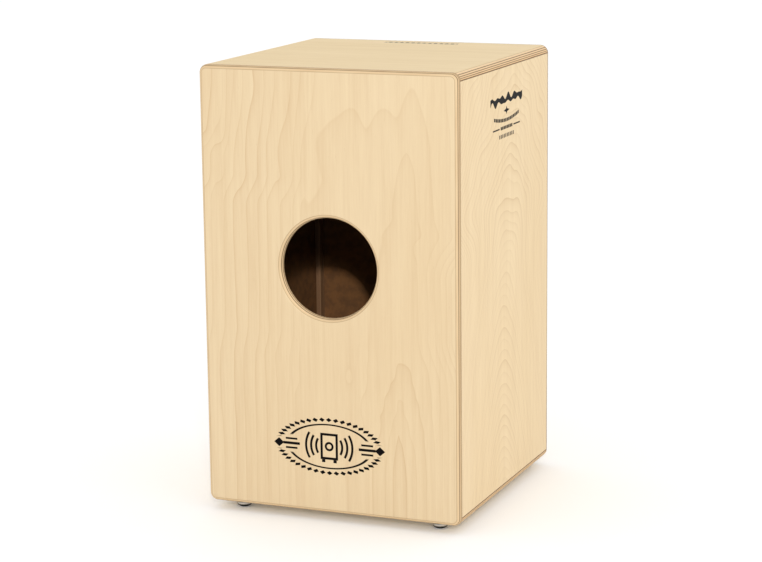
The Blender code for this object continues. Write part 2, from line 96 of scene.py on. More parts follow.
# The boards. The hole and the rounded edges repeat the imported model's own sizes.
BOX_LOW, BOX_HIGH = CAD_BOX
REAR_LOW, REAR_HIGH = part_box("rear_panel")
SEAT_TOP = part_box("top_board")[1].z
HOLE_CENTRE = Vector((0.0, REAR_HIGH.y, 0.284))
HOLE_RADIUS = 0.055
REAR_ROUND = 0.006
CORNER_RADIUS = 0.009

SIDES = ("left", "right")

# The slack between pieces that don't touch, and how finely round things are divided.
GAP = 0.0003
FINE_SIDES = 96
THREAD_SIDES = 48
TUBE_SIDES = 12
HOLE_STEPS = 144
CORNER_STEPS = 14
ROUND_STEPS = 9
SMOOTH_ANGLE = math.radians(34)


# ---------------------------------------------------------------- arithmetic on shader values


class Value:
    """A number that varies over a surface: an output in a shader's node tree."""

    def __init__(self, tree, socket):
        self.tree = tree
        self.socket = socket

    def __add__(self, other):
        return calculated("ADD", self, other)

    def __sub__(self, other):
        return calculated("SUBTRACT", self, other)

    def __rsub__(self, other):
        return calculated("SUBTRACT", other, self)

    def __mul__(self, other):
        return calculated("MULTIPLY", self, other)

    def __truediv__(self, other):
        return calculated("DIVIDE", self, other)

    def __neg__(self):
        return calculated("MULTIPLY", self, -1.0)

    __radd__ = __add__
    __rmul__ = __mul__


def calculated(operation, *terms):
    tree = next(term.tree for term in terms if isinstance(term, Value))
    node = tree.nodes.new("ShaderNodeMath")
    node.operation = operation
    for socket, term in zip(node.inputs, terms):
        if isinstance(term, Value):
            tree.links.new(term.socket, socket)
        else:
            socket.default_value = term
    return Value(tree, node.outputs[0])


def size_of(value):
    return calculated("ABSOLUTE", value)


def largest(first, *others):
    for other in others:
        first = calculated("MAXIMUM", first, other)
    return first


def sine(value):
    return calculated("SINE", value)


def root(value):
    return calculated("SQRT", value)


def power(value, exponent):
    return calculated("POWER", calculated("MAXIMUM", value, 0.0), exponent)


def whole(value):
    return calculated("FLOOR", value)


def fraction(value):
    return calculated("FRACT", value)


def exponential(value):
    return calculated("EXPONENT", value)


def ramp(value, start, end):
    """Rises smoothly from 0 at start to 1 at end."""
    node = value.tree.nodes.new("ShaderNodeMapRange")
    node.interpolation_type = "SMOOTHSTEP"
    value.tree.links.new(value.socket, node.inputs["Value"])
    node.inputs["From Min"].default_value = start
    node.inputs["From Max"].default_value = end
    return Value(value.tree, node.outputs["Result"])


def hill(value, middle, width):
    """A bell curve of height 1."""
    away = (value - middle) / width
    return exponential(-(away * away))


def vector(tree, terms):
    node = tree.nodes.new("ShaderNodeCombineXYZ")
    for socket, term in zip(node.inputs, terms):
        if isinstance(term, Value):
            tree.links.new(term.socket, socket)
        else:
            socket.default_value = term
    return node.outputs[0]


def noise(x, y, z, detail=2.0, roughness=0.5):
    """Smooth noise about 0, mostly from -0.3 to 0.3, whose cells are 1 across in these coordinates."""
    node = x.tree.nodes.new("ShaderNodeTexNoise")
    x.tree.links.new(vector(x.tree, (x, y, z)), node.inputs["Vector"])
    node.inputs["Scale"].default_value = 1.0
    node.inputs["Detail"].default_value = detail
    node.inputs["Roughness"].default_value = roughness
    return Value(x.tree, node.outputs[0]) - 0.5


def chance(value):
    """A number from 0 to 1 that is different for each whole value."""
    node = value.tree.nodes.new("ShaderNodeTexWhiteNoise")
    node.noise_dimensions = "1D"
    value.tree.links.new(value.socket, node.inputs["W"])
    return Value(value.tree, node.outputs["Value"])


def linear(colour):
    """An 8-bit display colour as linear light."""

    def channel(c):
        c = c / 255
        return c / 12.92 if c <= 0.04045 else ((c + 0.055) / 1.055) ** 2.4

    return (*[channel(c) for c in colour], 1.0)


def colour_socket(tree, colour, socket):
    """Puts a fixed 8-bit colour, or another node's output, on a colour socket."""
    if isinstance(colour, tuple):
        socket.default_value = linear(colour)
    else:
        tree.links.new(colour, socket)


def blended(first, second, share):
    """The colour that is first where share is 0 and second where it is 1."""
    node = share.tree.nodes.new("ShaderNodeMix")
    node.data_type = "RGBA"
    share.tree.links.new(share.socket, node.inputs[0])
    colour_socket(share.tree, first, node.inputs[6])
    colour_socket(share.tree, second, node.inputs[7])
    return node.outputs[2]


# ---------------------------------------------------------------- material frame


class Finish:
    """A material under construction, with the object's own coordinates as values."""

    def __init__(self, name):
        self.material = bpy.data.materials.new(name)
        self.material.use_nodes = True
        self.tree = self.material.node_tree
        self.shader = self.tree.nodes["Principled BSDF"]
        place = self.tree.nodes.new("ShaderNodeTexCoord")
        split = self.tree.nodes.new("ShaderNodeSeparateXYZ")
        self.tree.links.new(place.outputs["Object"], split.inputs[0])
        self.x, self.y, self.z = [Value(self.tree, s) for s in split.outputs]

    def set(self, **sockets):
        for name, value in sockets.items():
            self.shader.inputs[name.replace("_", " ")].default_value = value

    def colour(self, colour):
        colour_socket(self.tree, colour, self.shader.inputs["Base Color"])

    def roughness(self, value):
        self.tree.links.new(value.socket, self.shader.inputs["Roughness"])

    def bump(self, height, distance, strength=1.0):
        node = self.tree.nodes.new("ShaderNodeBump")
        node.inputs["Distance"].default_value = distance
        node.inputs["Strength"].default_value = strength
        self.tree.links.new(height.socket, node.inputs["Height"])
        self.tree.links.new(node.outputs["Normal"], self.shader.inputs["Normal"])


# ---------------------------------------------------------------- wood

# A ring line's soft edge, and how fast its core and its tint fade over one step between rings.
RING_EDGE = 0.05
RING_CORE = 22.0
RING_TINT = 3.0


def ring_lines(height):
    """Lines where height passes a whole number: a fine dark core, then a tint that fades below it."""
    part = fraction(-height)
    weight = power(chance(whole(-height)), 1.5) * 0.9 + 0.45
    core = exponential(part * -RING_CORE) * 0.6 + exponential(part * -RING_TINT) * 0.4
    return ramp(part, 0.0, RING_EDGE) * core * weight


def fibre(across, along):
    """Fine streaks along the grain with finer ones among them."""
    broad = noise(across * 130, along * 5, 5.0, detail=2.0, roughness=0.6)
    streaks = noise(across * 420, along * 9, 0.0, detail=3.0, roughness=0.6)
    fine = noise(across * 1500, along * 45, 3.0, detail=2.0, roughness=0.6)
    return broad * 0.4 + streaks * 0.4 + fine * 0.3


def flecks(across, along):
    """Short dark pores, a few millimetres long."""
    return ramp(noise(across * 900, along * 110, 7.0, detail=1.0), 0.20, 0.32)


def straight_figure(across, along, start, pitch):
    """Ring heights of nearly straight grain."""
    wander = noise(across * 14, along * 3, start, detail=2.0)
    return across / pitch + wander * 3.0 + start


def rear_figure(u, v):
    """Ring heights of the rear board: a three-peaked crown with a lancet inside it, and close lines."""
    wander = noise(u * 16, v * 10, 1.0, detail=2.0, roughness=0.5)

    # The upright lines on the left lean out step by step on the way down, and bunch together.
    lean = ramp(v, 0.485, 0.400) * 0.012 + ramp(v, 0.385, 0.350) * 0.014
    lean = lean + ramp(v, 0.215, 0.180) * 0.006
    lean = lean + ramp(v, 0.158, 0.138) * hill(u, -0.018, 0.025) * 0.016
    left = ramp(u + lean, 0.043, -0.010) * 0.55 + power(-lean - u - 0.004, 1.0) / 0.0135
    uneven = noise(u * 55, v * 2.5, 8.0, detail=1.0) * ramp(u, 0.0, -0.030) * 1.3

    # The lines on the right close up below the crown and flare towards the floor.
    flare = ramp(v, 0.215, 0.165) * 0.014
    close = ramp(v, 0.330, 0.280) * 2.2 + 1.0
    right = power(u - flare - 0.085, 2.0) * 470.0 * close

    # The crown, and the dents between its three peaks.
    crown = ramp(v, 0.411, 0.524) * hill(u, 0.060, 0.065) * 1.25
    dents = hill(u, 0.046, 0.009) * 0.34 + hill(u, 0.081, 0.008) * 0.14 - hill(u, 0.099, 0.010) * 0.16
    dents = dents * ramp(v, 0.405, 0.440)

    # The lancet widens downwards and has a pinch on its outer side.
    spread = ramp(v, 0.415, 0.350) * 0.010 + ramp(v, 0.345, 0.322) * 0.014
    spread = spread + ramp(v, 0.320, 0.230) * 0.022 + 0.011
    away = power(size_of(u - 0.092) / spread, 1.4)
    lancet = exponential(-away) * ramp(v, 0.440, 0.390) * 1.15
    pinch = hill(v, 0.312, 0.010) * hill(u, 0.104, 0.008) * 0.5

    # Below the hole: a ridge, stacked peaks with kinks in them, and a fringe at the upper left edge.
    ridge = hill(u, 0.024, 0.013) * ramp(v, 0.290, 0.240) * ramp(v, 0.070, 0.110) * 0.75
    stack = exponential(size_of(u - 0.080) / -0.024) * ramp(v, 0.215, 0.050) * 3.4
    kinks = noise(u * 42, v * 26, 6.0, detail=1.0) * hill(v, 0.140, 0.050) * hill(u, 0.070, 0.070) * 1.5
    edge = ramp(u, -0.108, -0.124) * ramp(v, 0.400, 0.432) * 1.3

    height = left + uneven + right + crown + dents - lancet
    height = height + pinch + ridge - stack + kinks + edge
    return height + wander * 0.4 + 1.49


def arch_figure(across, along, middle, start, pitch=0.0125):
    """Ring heights of flat-sawn grain: arches one above another, swirling in the upper part."""
    wander = noise(across * 20, along * 13, start, detail=2.0, roughness=0.5)
    wild = noise(across * 14, along * 10, start + 4.0, detail=1.0) * ramp(along, 0.270, 0.345)
    axis = ramp(along, 0.220, 0.330) * 0.020 + middle
    away = (across - axis + wander * 0.006) / 0.060
    drop = (root(away * away + 1.0) - 1.0) * 0.198
    calm = ramp(along, 0.350, 0.270) * 0.55 + 0.45
    return (along + drop * calm) / pitch + wild * 6.5 + wander * 1.1 + start


def plies(depth, lines, width):
    """Dark glue lines at these depths below a board's face."""
    total = hill(depth, lines[0], width)
    for line in lines[1:]:
        total = total + hill(depth, line, width)
    return total


# Colours as 8-bit display values, and how much of each shows.
GLUE = (92, 58, 36)
PORE = (150, 112, 76)
# INSIDE_SHADE and INSIDE_DARK are painted shade: the boards' inner faces are darkened to stand in for the
# dark inside of the box. INSIDE_SHARE is how much of that painted shade shows.
INSIDE_SHADE = (112, 70, 33)
INSIDE_DARK = (90, 54, 25)
INK = (10, 8, 8)
STREAK_SHARE = 0.36
PORE_SHARE = 0.12
INSIDE_SHARE = 0.95
EDGE_STREAK_SHARE = 0.55

# Widths of the glue lines. The outermost, under a thin face veneer, is the faintest.
GLUE_WIDTH = 0.00032
OUTER_GLUE_WIDTH = 0.00022
OUTER_GLUE_SHARE = 0.45

# The ink ends between these depths, so that it stays on the outer face. The edge's own colours fade
# into the faces' over the fade depth.
INK_DEPTHS = (0.0003, 0.0001)
FADE_DEPTH = 0.0001
GRAIN_DEPTH = 0.00006
SATIN = 0.05


def veneer(across, along, rings, tones, line_share):
    """Colour of a face veneer, with its ring lines, streaks, flecks and slow changes of tone."""
    light, warm, dark = tones
    base = blended(light, warm, ramp(noise(across * 9, along * 2.2, 11.0, detail=2.0), -0.25, 0.35))
    lined = blended(base, dark, rings * line_share)
    streaked = blended(lined, dark, ramp(fibre(across, along), -0.25, 0.35) * STREAK_SHARE)
    return blended(streaked, PORE, flecks(across, along) * PORE_SHARE)


def ply_edge(depth, lines, along, edge_tones):
    """Colour of a plywood edge: its plies, fine lengthwise streaks, dark glue lines, and painted shade
    that darkens it from its outer to its inner tone with depth.
    """
    upper, lower, dark = edge_tones
    # Painted shade: the edge darkens from its outer to its inner tone with depth down the rounded edge.
    body = blended(upper, lower, ramp(depth, lines[0], lines[-1]))
    streaks = ramp(noise(depth * 5200, along * 26, 2.0, detail=2.0), -0.3, 0.3)
    streaked = blended(body, dark, streaks * EDGE_STREAK_SHARE)
    outermost = hill(depth, lines[0], OUTER_GLUE_WIDTH) * OUTER_GLUE_SHARE
    glue = plies(depth, lines[1:], GLUE_WIDTH) + outermost
    return blended(streaked, GLUE, glue)


def board_material(name, across, along, depth, lines, rings, tones, edge_tones, mark=None, share=0.68):
    """Birch plywood. across, along and depth say which axis is which, as functions of a finish."""
    finish = Finish(name)
    u, v, d = across(finish), along(finish), depth(finish)
    ring = ring_lines(rings(u, v))
    face = veneer(u, v, ring, tones, share)
    # The inner faces are painted shade, mottled at random between two dark tones.
    inside_mottle = noise(u * 70, v * 70, 5.0, detail=4.0, roughness=0.65)
    inner = blended(INSIDE_SHADE, INSIDE_DARK, ramp(inside_mottle, -0.12, 0.16))
    first, last = lines[0], lines[-1]
    # Below the last glue line the colour turns into the painted shade of the inner face.
    face = blended(face, inner, ramp(d, last, last + 2 * FADE_DEPTH) * INSIDE_SHARE)
    between = ramp(d, first - FADE_DEPTH, first) * ramp(d, last + FADE_DEPTH, last)
    colour = blended(face, ply_edge(d, lines, u + v, edge_tones), between)
    if mark:
        colour = blended(colour, INK, mark(u, v) * ramp(d, *INK_DEPTHS))
    finish.colour(colour)
    grain = fibre(u, v)
    finish.roughness(grain * 0.16 + 0.46)
    finish.bump(grain - ring * 0.5, GRAIN_DEPTH, 0.5)
    finish.set(Specular_IOR_Level=SATIN)
    return finish.material


# ---------------------------------------------------------------- printed marks, in millimetres

# p runs to the right and q upwards, or on the seat away from the tapa, from near a mark's middle.
# A line's soft edge is twice this wide.
SOFT = 0.20


def line_of(distance, width):
    """1 on a line of this width, 0 off it. The distance is measured from the line's middle."""
    return ramp(size_of(distance) - width / 2, SOFT, -SOFT)


def block(p, q, half_wide, half_high):
    """A solid upright rectangle."""
    return line_of(p, 2 * half_wide) * line_of(q, 2 * half_high)


def frame_of(p, q, half_wide, half_high, width):
    """Outline of an upright rectangle."""
    out = largest(size_of(p) - half_wide, size_of(q) - half_high)
    return line_of(out, width)


def bars(p, q, pitch, width, reach, height):
    """A row of upright bars of one height, out to reach on either side."""
    place = (whole(p / pitch) + 0.5) * pitch
    return line_of(p - place, width) * line_of(q, height) * line_of(place, 2 * reach)


def lozenge(p, q, half_wide, half_high):
    """A diamond with its corners at these distances."""
    soft = SOFT / half_high
    return ramp(size_of(p) / half_wide + size_of(q) / half_high, 1.0 + soft, 1.0 - soft)


def rear_mark(u, v):
    """A box drum between sound waves, in an oval of leaves with a diamond and three rules at each end."""
    p, q = u * 1000.0 + 2.0, v * 1000.0 - 86.0

    # The drum stands on two feet. The waves are arcs that show only inside a fan to each side.
    radius = root(p * p + q * q)
    case = frame_of(p, q, 9.0, 13.5, 2.8)
    feet = block(size_of(p) - 6.8, q + 16.5, 2.0, 1.7)
    drum = largest(case, line_of(radius - 4.0, 2.6), feet)
    fan = ramp(size_of(q) / size_of(p), 0.66, 0.58)
    waves = largest(line_of(radius - 15.5, 2.7), line_of(radius - 21.5, 2.7), line_of(radius - 27.5, 2.7))

    # The oval is 1 on the ring of leaves, which are evenly spaced round it.
    half_wide, half_high, leaf_count = 60.0, 30.0, 46
    across, up = p / half_wide, q / half_high
    oval = root(across * across + up * up)
    turn = calculated("ARCTAN2", up, across)
    step = fraction(turn * (leaf_count / math.tau)) - 0.5
    leaf = ramp(size_of(step) * 2.2 + size_of(oval - 1.0) * 11.5, 1.0, 0.86)
    inner = line_of((oval - 0.82) * half_high, 1.7) * ramp(size_of(q), 9.0, 11.0)
    leaves = largest(leaf * ramp(size_of(q), 6.0, 8.0), inner)

    long_rule = block(size_of(p) - 45.0, q, 10.0, 1.5)
    diamond = lozenge(size_of(p) - half_wide, q, 6.0, 5.2)
    short_rules = block(size_of(p) - 45.0, size_of(q) - 5.2, 7.0, 1.1)
    return largest(drum, waves * fan, leaves, long_rule, diamond, short_rules)


def side_mark(u, v):
    """A waveform over a star, a curved row of bars, a row between two rules, and a last short row."""
    p, q = u * 1000.0 - 3.0, v * 1000.0 - 443.0
    wave = sine(p * 0.30) * sine(p * 0.061 + 1.1) * 2.6
    swell = sine(p * 0.15 + 0.6)
    body = swell * swell * 5.0 + 4.2
    waveform = ramp(size_of(q - wave - 12.5) - body / 2.0, SOFT, -SOFT) * line_of(p, 106.0)
    star = largest(lozenge(p, q, 10.0, 2.2), lozenge(p, q, 3.4, 4.6))
    bow = (p / 43.0) * (p / 43.0) * 4.5
    curved = bars(p, q - bow + 10.5, pitch=5.2, width=4.2, reach=43.0, height=3.8)
    rules = block(size_of(p) - 34.0, q + 18.5, 11.0, 0.8)
    row = bars(p, q + 18.5, pitch=5.0, width=4.1, reach=20.0, height=3.6)
    last_row = bars(p, q + 27.5, pitch=5.0, width=2.8, reach=24.0, height=4.2)
    return largest(waveform, star, curved, rules, row, last_row)


def seat_mark(u, v):
    """A row of beads between two rules, near the front edge of the seat."""
    p, q = v * 1000.0 + 2.0, u * 1000.0 + 128.0
    beads = lozenge((fraction(p / 7.0) - 0.5) * 7.0, q, 2.9, 3.0)
    rules = largest(line_of(q - 5.2, 1.2), line_of(q + 5.2, 1.2))
    return largest(beads, rules) * line_of(p, 90.0)


# ---------------------------------------------------------------- the woods

# The light, the warm and the dark tone of a face. The rear board's tones are darker than the side's as
# painted shade, which offsets the key light that falls more fully on the rear board.
REAR_TONES = ((226, 205, 169), (222, 199, 161), (192, 158, 118))
SIDE_TONES = ((240, 218, 180), (236, 212, 171), (200, 167, 124))
SEAT_TONES = ((236, 214, 172), (231, 208, 163), (196, 163, 114))

# The outer, the inner and the streaked tone of an edge. The inner tone is darker as painted shade, where
# a rounded edge curves down and away from the light.
REAR_EDGE = ((228, 203, 163), (220, 193, 152), (196, 160, 116))
SEAT_EDGE = ((254, 226, 182), (242, 208, 160), (170, 128, 88))

# Depths of the glue lines below a face, and of the battens' below their outer side.
REAR_LINES = (0.0004, 0.0025, 0.0045, 0.0066)
BOARD_LINES = (0.0006, 0.0025, 0.0045, 0.0065, 0.0084)
TAPA_LINES = (0.0006, 0.0012, 0.0018, 0.0024)
STRIP_LINES = (0.0014, 0.0028, 0.0042)
STRIP_OUTER = 0.1407

# The light and the dark tone of each other material, and nickel's tint at glancing angles. Nickel's two
# tones are a painted highlight and painted shade.
STRIP_TONES = ((150, 114, 78), (118, 84, 54))
BEECH_TONES = ((196, 148, 102), (168, 120, 80))
BEECH_RAY = (128, 84, 52)
ZINC_TONES = ((214, 214, 210), (168, 166, 156))
BLACK_TONES = ((52, 52, 54), (30, 29, 30))
BRASS_TONES = ((222, 186, 112), (184, 142, 74))
BRONZE_TONES = ((214, 172, 122), (150, 104, 68))
NICKEL_HIGHLIGHT_AND_SHADE_TONES = ((236, 234, 231), (9, 8, 8))
NICKEL_GLANCE = (110, 108, 106)
RUBBER_TONES = ((30, 30, 31), (74, 70, 66))
PAPER_TONES = ((252, 252, 252), (247, 247, 246))


def rear_material():
    return board_material(
        "birch_rear",
        across=lambda f: -f.x,
        along=lambda f: f.z,
        depth=lambda f: REAR_HIGH.y - f.y,
        lines=REAR_LINES,
        rings=rear_figure,
        tones=REAR_TONES,
        edge_tones=REAR_EDGE,
        mark=rear_mark,
    )


def side_material(name, sign, start, mark=None):
    return board_material(
        name,
        across=lambda f: f.y * sign,
        along=lambda f: f.z,
        depth=lambda f: BOX_HIGH.x - size_of(f.x),
        lines=BOARD_LINES,
        rings=lambda u, v: arch_figure(u, v, middle=-0.007, start=start),
        tones=SIDE_TONES,
        edge_tones=REAR_EDGE,
        mark=mark,
        share=0.75,
    )


def end_board_material(name, face_z, sign, start, mark=None):
    return board_material(
        name,
        across=lambda f: f.y,
        along=lambda f: f.x,
        depth=lambda f: (face_z - f.z) * sign,
        lines=BOARD_LINES,
        rings=lambda u, v: straight_figure(u, v, start, pitch=0.010),
        tones=SEAT_TONES,
        edge_tones=SEAT_EDGE,
        mark=mark,
        share=0.4,
    )


def tapa_material():
    return board_material(
        "birch_tapa",
        across=lambda f: f.x,
        along=lambda f: f.z,
        depth=lambda f: f.y - BOX_LOW.y,
        lines=TAPA_LINES,
        rings=lambda u, v: arch_figure(u, v, middle=-0.02, start=9.0, pitch=0.017),
        tones=SIDE_TONES,
        edge_tones=REAR_EDGE,
    )


def strip_material():
    """Plywood battens and their glue lines, which run upright."""
    finish = Finish("birch_strip")
    depth = STRIP_OUTER - size_of(finish.x)
    lines = plies(depth, STRIP_LINES, 0.0002)
    streaks = ramp(noise(finish.x * 300, finish.y * 300, finish.z * 7), -0.3, 0.3)
    finish.colour(blended(blended(*STRIP_TONES, streaks), GLUE, lines * 0.85))
    finish.roughness(noise(finish.x * 900, finish.y * 900, finish.z * 30) * 0.2 + 0.6)
    return finish.material


def beech_material():
    """Beech with the short dark flecks of its rays."""
    finish = Finish("beech")
    streaks = noise(finish.x * 8, finish.y * 320, finish.z * 320, detail=3.0, roughness=0.6)
    rays = ramp(noise(finish.x * 160, finish.y * 900, finish.z * 900, detail=1.0), 0.14, 0.22)
    body = blended(*BEECH_TONES, ramp(streaks, -0.3, 0.3))
    finish.colour(blended(body, BEECH_RAY, rays * 0.6))
    finish.roughness(streaks * 0.2 + 0.55)
    finish.bump(streaks, 0.00005, 0.4)
    return finish.material


# ---------------------------------------------------------------- metals, rubber

SCRATCH_DEPTH = 0.00002
WRAP_PITCH = 0.00036


def metal_material(name, tones, roughness, brushed=(300.0, 300.0, 300.0)):
    """Metal with duller patches and fine scratches. brushed says how close they are along each axis."""
    finish = Finish(name)
    patches = noise(finish.x * 260, finish.y * 260, finish.z * 260, detail=3.0, roughness=0.6)
    scratches = noise(finish.x * brushed[0], finish.y * brushed[1], finish.z * brushed[2], detail=2.0)
    worn = ramp(patches, -0.1, 0.4)
    finish.colour(blended(*tones, worn * 0.5))
    finish.roughness(scratches * 0.10 + patches * 0.12 + roughness)
    finish.bump(scratches, SCRATCH_DEPTH, 0.3)
    finish.set(Metallic=1.0)
    return finish.material


def nickel_material():
    """Polished nickel with painted light: painted shade dark round its top, under the board, and round
    its mouth, and a painted highlight bright round its middle.
    """
    finish = Finish("nickel")
    painted_highlight_tone, painted_shade_tone = NICKEL_HIGHLIGHT_AND_SHADE_TONES
    patches = noise(finish.x * 260, finish.y * 260, finish.z * 260, detail=3.0, roughness=0.6)
    scratches = noise(finish.x * 120, finish.y * 120, finish.z * 2400, detail=2.0)
    # A painted highlight: a bright band of reflection round the middle, with painted shade above and
    # below it.
    painted_highlight_band = hill(finish.z + patches * 0.0006, 0.0044, 0.0013)
    finish.colour(blended(painted_shade_tone, painted_highlight_tone, painted_highlight_band))
    finish.roughness(scratches * 0.06 + patches * 0.08 + 0.10)
    finish.bump(scratches, SCRATCH_DEPTH, 0.2)
    finish.set(Metallic=1.0, Specular_Tint=linear(NICKEL_GLANCE))
    return finish.material


def rubber_material():
    finish = Finish("foot_rubber")
    grain = noise(finish.x * 2400, finish.y * 2400, finish.z * 2400, detail=3.0, roughness=0.7)
    dust = ramp(noise(finish.x * 300, finish.y * 300, finish.z * 300, detail=3.0), -0.1, 0.4)
    finish.colour(blended(*RUBBER_TONES, dust * 0.5))
    finish.roughness(grain * 0.2 + 0.75)
    finish.bump(grain, 0.00005, 0.6)
    return finish.material


def wire_material():
    """Bronze wrap wire: tight turns along Z that read as a fine ribbing."""
    finish = Finish("bronze_wire")
    turns = sine(finish.z * (math.tau / WRAP_PITCH))
    tarnish = ramp(noise(finish.x * 500, finish.y * 500, finish.z * 60, detail=3.0), -0.2, 0.35)
    finish.colour(blended(*BRONZE_TONES, tarnish * 0.6))
    finish.roughness(tarnish * 0.12 + 0.26)
    finish.bump(turns, 0.00004, 0.5)
    finish.set(Metallic=1.0)
    return finish.material


# ---------------------------------------------------------------- mesh making


def mesh_from(model, name):
    bmesh.ops.recalc_face_normals(model, faces=model.faces)
    mesh = bpy.data.meshes.new(name)
    model.to_mesh(mesh)
    model.free()
    mesh.shade_smooth()
    mesh.set_sharp_from_angle(angle=SMOOTH_ANGLE)
    return mesh


def bridged(model, low, high):
    """Faces between two rings of corners. A ring of one corner is a pole."""
    count = max(len(low), len(high))
    for i in range(count):
        j = (i + 1) % count
        corners = [low[i % len(low)], low[j % len(low)], high[j % len(high)], high[i % len(high)]]
        model.faces.new(list(dict.fromkeys(corners)))


def ring_at(radius, height, sides):
    """Points round Z. The radius is a number, or a function of the angle. Radius 0 is one point."""
    if radius == 0.0:
        return [(0.0, 0.0, height)]
    turns = [math.tau * i / sides for i in range(sides)]
    sizes = [radius(t) if callable(radius) else radius for t in turns]
    return [(r * math.cos(t), r * math.sin(t), height) for r, t in zip(sizes, turns)]


def turned(name, profile, sides=FINE_SIDES, closed=False):
    """A solid through rings of (radius, height). A closed profile makes a tube or a washer."""
    model = bmesh.new()
    rings = [[model.verts.new(p) for p in ring_at(*spot, sides)] for spot in profile]
    for low, high in zip(rings, rings[1:]):
        bridged(model, low, high)
    if closed:
        bridged(model, rings[-1], rings[0])
    return mesh_from(model, name)


def arc(centre, radius, start, end, steps):
    """Points on an arc from one angle to another, both in degrees, ends included."""
    angles = [math.radians(start + (end - start) * i / steps) for i in range(steps + 1)]
    return [(centre[0] + radius * math.cos(a), centre[1] + radius * math.sin(a)) for a in angles]


def tube(model, path, radius, sides=TUBE_SIDES):
    """A round wire with flat ends along a line of points."""
    side = (path[1] - path[0]).orthogonal().normalized()
    rings = []
    for i, point in enumerate(path):
        ahead = (path[min(i + 1, len(path) - 1)] - path[max(i - 1, 0)]).normalized()
        side = (side - ahead * side.dot(ahead)).normalized()
        other = ahead.cross(side)
        turns = [math.tau * k / sides for k in range(sides)]
        corners = [point + (side * math.cos(t) + other * math.sin(t)) * radius for t in turns]
        rings.append([model.verts.new(corner) for corner in corners])
    for low, high in zip(rings, rings[1:]):
        bridged(model, low, high)
    model.faces.new(rings[0])
    model.faces.new(rings[-1])


def shown(name, mesh, material, body, slot, stands_for, place=None):
    """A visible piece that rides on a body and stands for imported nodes."""
    obj = bpy.data.objects.new(name, mesh)
    bpy.context.scene.collection.objects.link(obj)
    if not mesh.materials:
        mesh.materials.append(material)
    if place is not None:
        obj.matrix_world = place
    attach(obj, body)
    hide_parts(*stands_for)
    return obj


def middle_of(node):
    low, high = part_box(node)
    return (low + high) / 2


def repaint(material, *nodes):
    for name in nodes:
        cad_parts[name].material_slots[0].material = material


def nodes_called(start):
    return [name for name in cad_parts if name.startswith(start)]


# ---------------------------------------------------------------- boards


def outline(inset):
    """Corners of the rear board's outline, drawn in from its edge, as (x, z) points."""
    radius = CORNER_RADIUS - inset
    right, top = REAR_HIGH.x - CORNER_RADIUS, REAR_HIGH.z - CORNER_RADIUS
    left, low = REAR_LOW.x + CORNER_RADIUS, REAR_LOW.z + CORNER_RADIUS
    centres = ((right, top), (left, top), (left, low), (right, low))
    points = []
    for start, centre in zip((0, 90, 180, 270), centres):
        points += arc(centre, radius, start, start + 90, CORNER_STEPS)
    return points


def circle(radius):
    turns = [math.tau * i / HOLE_STEPS for i in range(HOLE_STEPS)]
    return [(HOLE_CENTRE.x + radius * math.cos(t), HOLE_CENTRE.z + radius * math.sin(t)) for t in turns]


def rear_board_mesh():
    """The rear board, its outer edges and the sound hole's rim rounded over."""
    model = bmesh.new()
    back, front = REAR_LOW.y, REAR_HIGH.y

    def ring(points, y):
        return [model.verts.new((x, y, z)) for x, z in points]

    turns = [math.radians(90 * i / ROUND_STEPS) for i in range(ROUND_STEPS + 1)]
    rounds = [(REAR_ROUND * (1 - math.cos(t)), front - REAR_ROUND * (1 - math.sin(t))) for t in turns]
    outer = [ring(outline(0.0), back)]
    outer += [ring(outline(inset), y) for inset, y in rounds]
    rim = [ring(circle(HOLE_RADIUS), back)]
    rim += [ring(circle(HOLE_RADIUS + inset), y) for inset, y in rounds]
    for rings in (outer, rim):
        for low, high in zip(rings, rings[1:]):
            bridged(model, low, high)
    model.edges.ensure_lookup_table()
    for end in (0, -1):
        loops = [outer[end], rim[end]]
        edges = [model.edges.get((loop[i], loop[i - 1])) for loop in loops for i in range(len(loop))]
        bmesh.ops.triangle_fill(model, use_beauty=True, edges=edges)
    return mesh_from(model, "rear_board")


def rear_board():
    obj = shown("rear_board", rear_board_mesh(), rear_material(), "box", "birch_face", ["rear_panel"])
    even = obj.modifiers.new("even_shading", "WEIGHTED_NORMAL")
    even.keep_sharp = True


def boards():
    rear_board()
    repaint(tapa_material(), "tapa")
    left = side_material("birch_left", sign=-1.0, start=0.0, mark=side_mark)
    right = side_material("birch_right", sign=1.0, start=6.3)
    seat = end_board_material("birch_seat", SEAT_TOP, sign=1.0, start=2.0, mark=seat_mark)
    underside = end_board_material("birch_floor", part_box("bottom_board")[0].z, sign=-1.0, start=14.0)
    repaint(left, "left_side_panel")
    repaint(right, "right_side_panel")
    repaint(seat, "top_board")
    repaint(underside, "bottom_board")
    battens = [f"{side}_{end}_batten" for side in SIDES for end in ("front", "rear")]
    repaint(strip_material(), *battens)
    repaint(beech_material(), "string_rail", "tuning_block")


# ---------------------------------------------------------------- screws and feet

FACING_FRONT = Matrix.Rotation(math.radians(90), 4, "X")

# The driver's cross in a tapa screw and in a foot's screw.
CROSS_REACH = 0.0017
CROSS_HALF_WIDTH = 0.00045
CROSS_DEPTH = 0.0014
CROSS_EDGE = 0.0001

TAPA_HEAD = 0.0030
TAPA_SHANK = 0.00145
TAPA_LENGTH = 0.016
TAPA_BEVEL = 0.00025
TAPA_BEVEL_DROP = 0.00015

